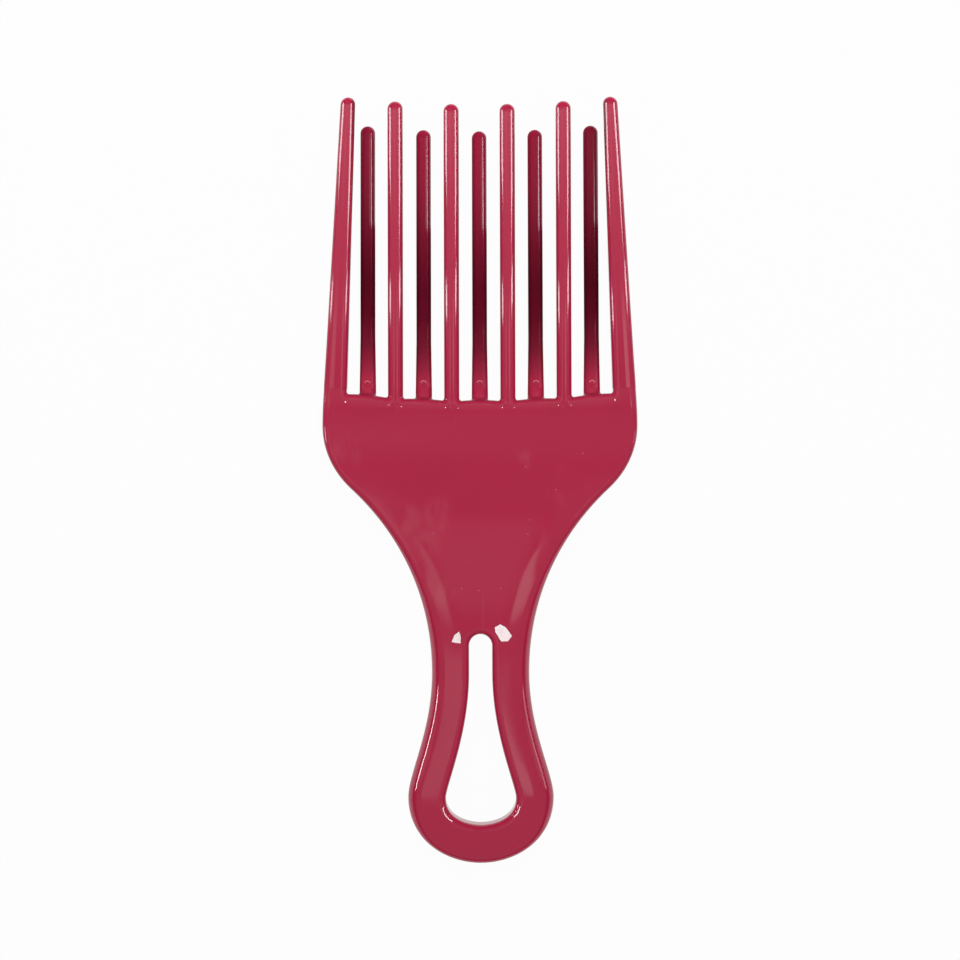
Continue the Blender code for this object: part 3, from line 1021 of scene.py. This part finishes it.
def stroke(nodes, x, y, points, width):
    """A mask along the round arc through three places."""
    start, bend, end = (Vector(place) for place in points)
    first, second = bend - start, end - start
    scale = 2.0 * (first.x * second.y - first.y * second.x)
    centre = start + Vector((
        second.y * first.length_squared - first.y * second.length_squared,
        first.x * second.length_squared - second.x * first.length_squared,
    )) / scale
    chord = (start + end) / 2.0
    half = second.length / 2.0
    off = nodes.apart(x - centre.x, y - centre.y) - (start - centre).length
    on_line = nodes.ramp(abs(off), width, width * spot_core)
    return on_line * nodes.ramp(nodes.apart(x - chord.x, y - chord.y), half, half * arc_core)


def pitch_share(x):
    """How far x lies from the middle of the nearest back tooth, in pitches."""
    return x / tooth_pitch - (x / tooth_pitch).math("ROUND")


def facing(place, lamp):
    """The way in which a place on the front faces where it shows the camera this lamp."""
    at = Vector((place[0], place[1], handle_thickness))
    to_lamp = (Vector(lamp) - at).normalized()
    to_camera = (Vector((camera_x, camera_y, middle + camera_height)) - at).normalized()
    return tuple((to_lamp + to_camera).normalized())


def straightened(nodes, normal, x, lip_level):
    """Turns the flanks of the two leaning outer teeth to face as those of the upright ones do."""
    geometry = nodes.add("ShaderNodeNewGeometry")
    way = nodes.add("ShaderNodeSeparateXYZ", None, Vector=geometry.outputs["Normal"])
    sideways = Num(nodes, way.outputs["X"])
    turn = sideways * x.math("SIGN") * outer_flank_lean
    turn = turn + abs(sideways) * outer_flank_taper
    on_flank = nodes.ramp(abs(x), *outer_flank_x)
    on_flank = on_flank * nodes.ramp(lip_level, *outer_flank_levels)
    shift = nodes.add("ShaderNodeCombineXYZ", None, Y=turn * -1.0 * on_flank)
    moved = nodes.add("ShaderNodeVectorMath", {"operation": "ADD"}, i0=normal, i1=shift.outputs[0])
    return nodes.unit(moved.outputs[0])


def paint_lip_edge_shade(nodes, x, lip_level):
    """A mask along the lip's edge, between the front teeth, where the colour is darkened as painted
    shade.
    """
    across = pitch_share(x)
    level = lip_level + across * across * (4.0 * lip_scallop)
    band = nodes.ramp(level, *lip_edge_foot) * nodes.ramp(level, *lip_edge_top)
    band = band * nodes.ramp(abs(across), *lip_edge_across)
    return band * nodes.ramp(abs(x), *lip_edge_reach)


def paint_back_row_shade(nodes, x, lip_level):
    """Painted shade on the back row: its depth of colour along its teeth, as a share of the
    front's, and how much of its gloss is taken away.
    """
    row = nodes.ramp((x / tooth_pitch * (2.0 * math.pi)).math("COSINE"), -row_blend, row_blend)
    row = row * nodes.ramp(lip_level, 0.0, row_start)
    along = nodes.curve(lip_level / row_length, back_row_painted_shades)
    gloss = nodes.curve(lip_level / row_length, row_glosses)
    outward = x / (2.0 * tooth_pitch)
    outer = outward * outward * row_outer_share + outward * row_right_share
    outer = outer * nodes.ramp(lip_level, *row_outer_levels)
    tone_and_painted_shade = along * (1.0 - outer)
    edge = nodes.ramp(pitch_share(x) * tooth_pitch, *row_edge)
    edge = edge * nodes.ramp(lip_level, *row_edge_levels)
    return 1.0 - (1.0 - tone_and_painted_shade) * row, (1.0 - gloss.math("MAXIMUM", edge)) * row


def front_marks(nodes, x, y, streaks):
    """How pale the flecks of dust, the weld line over the hole and the smudges are."""
    flecks = spots(nodes, x, y, from_picture(fleck_pixels), fleck_radius)
    (weld_x, weld_top), (_, weld_foot) = from_picture(weld_pixels)
    weld = nodes.ramp(abs(x - weld_x), *weld_line)
    weld = weld * nodes.ramp(y, weld_foot - weld_fade, weld_foot)
    weld = weld * nodes.ramp(y, weld_top + weld_fade, weld_top)
    smudges = spots(nodes, x, y, from_picture(smudge_pixels), smudge_radius)
    smudges = smudges * nodes.ramp(streaks, *smudge_levels)
    return nodes.most((flecks * fleck_strength, weld * weld_strength, smudges * smudge_strength))


def paint_ejector_highlight(nodes, from_pin, rise):
    """A painted highlight: the pale upper edge of the ejector marks on the roots of the back teeth.
    """
    ejector_highlight = nodes.ramp(abs(from_pin - ejector_radius), *ejector_line)
    return ejector_highlight * nodes.ramp(rise, *(ejector_radius * share for share in ejector_shares))


def with_highlights(nodes, normal, x, y, front, facet_masks):
    """Turns the facets, the arcs at the hole and the glints at the lip to face their lamps."""
    for mask, (corners, lamp) in zip(facet_masks, facets):
        outline = from_picture(corners)
        centre = [sum(side) / len(outline) for side in zip(*outline)]
        normal = nodes.turned(normal, facing(centre, lamp), mask)
    for points, lamp in hole_arcs:
        places = from_picture(points)
        mask = stroke(nodes, x, y, places, arc_width) * front
        normal = nodes.turned(normal, facing(places[1], lamp), mask)
    glint = nodes.most(
        spots(nodes, x, y, from_picture(pixels), radius) * front for pixels, radius in glints
    )
    ends = from_picture(glint_ends)
    left_way, right_way = (facing(end, right_low_lamp) for end in ends)
    along = nodes.ramp(x, ends[0][0], ends[1][0], smooth=False)
    return nodes.turned(normal, nodes.between(left_way, right_way, along), glint)


def cranberry_plastic():
    """Glossy moulded plastic with flow haze, dust, fine wear and small facets at the hole, with
    painted shade on the back row, along the lip's edge and under the facets, and a painted
    highlight on the ejector marks.
    """
    material = bpy.data.materials.new("cranberry_plastic")
    material.use_nodes = True
    nodes = Nodes(material.node_tree)
    shader = material.node_tree.nodes["Principled BSDF"]
    shader.inputs["IOR"].default_value = plastic_ior
    place = nodes.add("ShaderNodeTexCoord").outputs["Object"]
    split = nodes.add("ShaderNodeSeparateXYZ", None, Vector=place)
    x, y, z = (Num(nodes, split.outputs[axis]) for axis in "XYZ")
    front = nodes.ramp(z, middle, middle + front_blur)
    flow = nodes.noise(place, *flow_noise)
    grain = nodes.noise(place, *grain_noise)
    streaks = nodes.noise(nodes.stretched(place, *haze_way), *haze_noise)
    haze = nodes.ramp(streaks, *haze_levels)
    scratches = nodes.noise(nodes.stretched(place, *scratch_way), *scratch_noise)
    scratches = nodes.ramp(scratches, *scratch_levels)

    lip_level = y - lip_y - x * x / (2.0 * row_arc_radius)
    # painted shade: the back row's colour darkened and its gloss taken away along the middle of its
    # teeth
    back_row_painted_shade, shade_dullness = paint_back_row_shade(nodes, x, lip_level)
    facet_masks = [polygon(nodes, x, y, from_picture(corners)) * front for corners, _ in facets]
    tone_and_painted_shade = (1.0 + (flow - 0.5) * flow_tone + (grain - 0.5) * grain_tone) * back_row_painted_shade
    # painted shade: darker along the lip's edge
    tone_and_painted_shade = tone_and_painted_shade * (1.0 - paint_lip_edge_shade(nodes, x, lip_level) * lip_edge_shade_strength)
    # painted shade: darker under the facet highlights
    tone_and_painted_shade = tone_and_painted_shade * (1.0 - nodes.most(facet_masks) * facet_painted_shade)
    base = nodes.add("ShaderNodeVectorMath", {"operation": "SCALE"}, i0=plastic_colour, Scale=tone_and_painted_shade)
    rise = y - (lip_y + ejector_rise)
    from_pin = nodes.apart(pitch_share(x) * tooth_pitch, rise)
    # painted highlight along the upper edge of each ejector mark
    ejector_highlight = paint_ejector_highlight(nodes, from_pin, rise) * shade_dullness * ejector_highlight_strength
    marks_and_highlight = (front_marks(nodes, x, y, streaks) * front).math("MAXIMUM", ejector_highlight)
    colour = nodes.add("ShaderNodeMix", {"data_type": "RGBA"}, Factor=marks_and_highlight,
                       i6=base.outputs[0], i7=dust_and_highlight_colour).outputs[2]

    low, full, fading, high = root_dull_levels
    root = nodes.ramp(lip_level, low, full) * nodes.ramp(lip_level, high, fading) * shade_dullness
    roughness = plastic_roughness + root * root_dullness + haze * haze_dullness
    roughness = roughness + scratches * scratch_dullness + (grain - 0.5) * grain_dullness
    pin = nodes.ramp(from_pin, ejector_radius + ejector_blur, ejector_radius - ejector_blur)
    height = flow * flow_height + streaks * haze_height
    height = height + pin * ejector_depth - scratches * scratch_depth
    bump = nodes.add("ShaderNodeBump", None, Strength=1.0, Distance=1.0, Height=height)
    normal = straightened(nodes, bump.outputs[0], x, lip_level)
    normal = with_highlights(nodes, normal, x, y, front, facet_masks)

    nodes.put(shader.inputs["Base Color"], colour)
    nodes.put(shader.inputs["Roughness"], roughness)
    nodes.put(shader.inputs["Normal"], normal)
    # in the back row's painted shade this mix takes the gloss away
    dull = nodes.add("ShaderNodeBsdfPrincipled", None, Base_Color=colour, Roughness=roughness,
                     Specular_IOR_Level=0.0, Normal=normal)
    mix = nodes.add("ShaderNodeMixShader", None, i0=shade_dullness, i1=shader.outputs[0],
                    i2=dull.outputs[0])
    nodes.put(material.node_tree.nodes["Material Output"].inputs["Surface"], mix.outputs[0])
    return material


def dress():
    """Makes every piece and sets it in place of its node."""
    material = cranberry_plastic()
    body = in_scene("comb_body", make_skin())
    body.data.materials.append(material)
    pieces = [(body, "body")]
    tree = tooth_tree(material)
    fronts = [inner_sizes(x, 1) for x in front_teeth_x]
    for i, sizes in enumerate([outer_sizes(-1)] + fronts + [outer_sizes(1)]):
        tooth = make_tooth(f"long_tooth_{i + 1}", tree, sizes)
        pieces.append((tooth, f"front_tooth_{i + 1}"))
    for i, x in enumerate(back_teeth_x):
        tooth = make_tooth(f"short_tooth_{i + 1}", tree, inner_sizes(x, -1))
        pieces.append((tooth, f"back_tooth_{i + 1}"))
    for piece, node in pieces:
        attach(piece, "root")
        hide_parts(node)


def add_camera():
    camera = bpy.data.cameras.new("camera")
    camera.sensor_width = sensor_width
    camera.lens = camera.sensor_width * pixels_per_metre * camera_height / frame_pixels
    camera.clip_start = camera_near
    item = in_scene("camera", camera)
    item.location = (camera_x, camera_y, middle + camera_height)
    item.rotation_euler = (0.0, 0.0, camera_roll)
    bpy.context.scene.camera = item


def add_tent():
    """A pale tent round the comb, dim near the camera over it and dark low down at its sides."""
    world = bpy.data.worlds.new("tent")
    bpy.context.scene.world = world
    world.use_nodes = True
    nodes = Nodes(world.node_tree)
    background = world.node_tree.nodes["Background"]
    seen_way = nodes.add("ShaderNodeTexCoord").outputs["Generated"]
    way = nodes.add("ShaderNodeSeparateXYZ", None, Vector=seen_way)
    x, y, z = (Num(nodes, way.outputs[axis]) for axis in "XYZ")
    levels = [((at - tent_start) / tent_run, level / tent_peak) for at, level in tent_levels]
    wall = nodes.curve((y - tent_start) / tent_run, levels) * tent_peak
    for centre, half, level, blur in windows.values():
        inside = nodes.ramp(abs(x - centre[0]), half[0] + blur, half[0] - blur)
        along = nodes.ramp(abs(y - centre[1]), half[1] + blur, half[1] - blur)
        wall = wall + inside * along * level
    low = nodes.ramp(z, tent_foot, tent_shoulder, tent_low_level, 1.0)
    seen = Num(nodes, nodes.add("ShaderNodeLightPath").outputs["Is Camera Ray"])
    nodes.put(background.inputs["Strength"], wall * low * (1.0 - seen) + seen)
    background.inputs["Color"].default_value = white


def add_lamp(name, place, aim, size, level):
    """A rectangular lamp whose face has this level."""
    lamp = bpy.data.lights.new(name, "AREA")
    lamp.shape = "RECTANGLE"
    lamp.size, lamp.size_y = size
    lamp.energy = level * size[0] * size[1] * math.pi
    item = in_scene(name, lamp)
    item.location = place
    item.rotation_euler = (Vector(aim) - Vector(place)).to_track_quat("-Z", "Y").to_euler()
    return item


def add_lamps():
    """A soft key beyond the tips with low fills, and strips low at the sides for the gloss alone.

    One group of strips lights the teeth and one the body, so that the plate mirrors no large lamp.
    """
    teeth = bpy.data.collections.new("teeth_in_strip_light")
    body = bpy.data.collections.new("body_in_strip_light")
    for name, piece in bpy.data.objects.items():
        if name.startswith(("long_tooth", "short_tooth")):
            teeth.objects.link(piece)
        if name.startswith("comb_body"):
            body.objects.link(piece)
    for lamp in soft_lamps:
        add_lamp(*lamp).visible_glossy = False
    for lamps, shown_on in ((tooth_strips, teeth), (body_strips, body)):
        for lamp in lamps:
            item = add_lamp(*lamp)
            item.visible_diffuse = False
            item.light_linking.receiver_collection = shown_on


def add_floor():
    """A pale paper floor, which the camera and the gloss see as nearly white."""
    floor_mesh = bpy.data.meshes.new("floor")
    shape = bmesh.new()
    bmesh.ops.create_grid(shape, x_segments=1, y_segments=1, size=floor_reach)
    shape.to_mesh(floor_mesh)
    shape.free()
    floor = in_scene("floor", floor_mesh)
    floor.location = (0.0, 0.0, -floor_drop)
    paper = bpy.data.materials.new("pale_floor")
    paper.use_nodes = True
    nodes = Nodes(paper.node_tree)
    shader = paper.node_tree.nodes["Principled BSDF"]
    shader.inputs["Base Color"].default_value = paper_colour
    shader.inputs["Roughness"].default_value = paper_roughness
    glow = nodes.add("ShaderNodeEmission", None, Color=white, Strength=1.0)
    path = nodes.add("ShaderNodeLightPath").outputs
    seen = Num(nodes, path["Is Camera Ray"]).math("MAXIMUM", path["Is Glossy Ray"])
    mix = nodes.add("ShaderNodeMixShader", None, i0=seen * paper_glow, i1=shader.outputs[0],
                    i2=glow.outputs[0])
    nodes.put(paper.node_tree.nodes["Material Output"].inputs["Surface"], mix.outputs[0])
    floor_mesh.materials.append(paper)


dress()
add_camera()
add_tent()
add_lamps()
add_floor()
bpy.context.scene.view_settings.view_transform = "Standard"
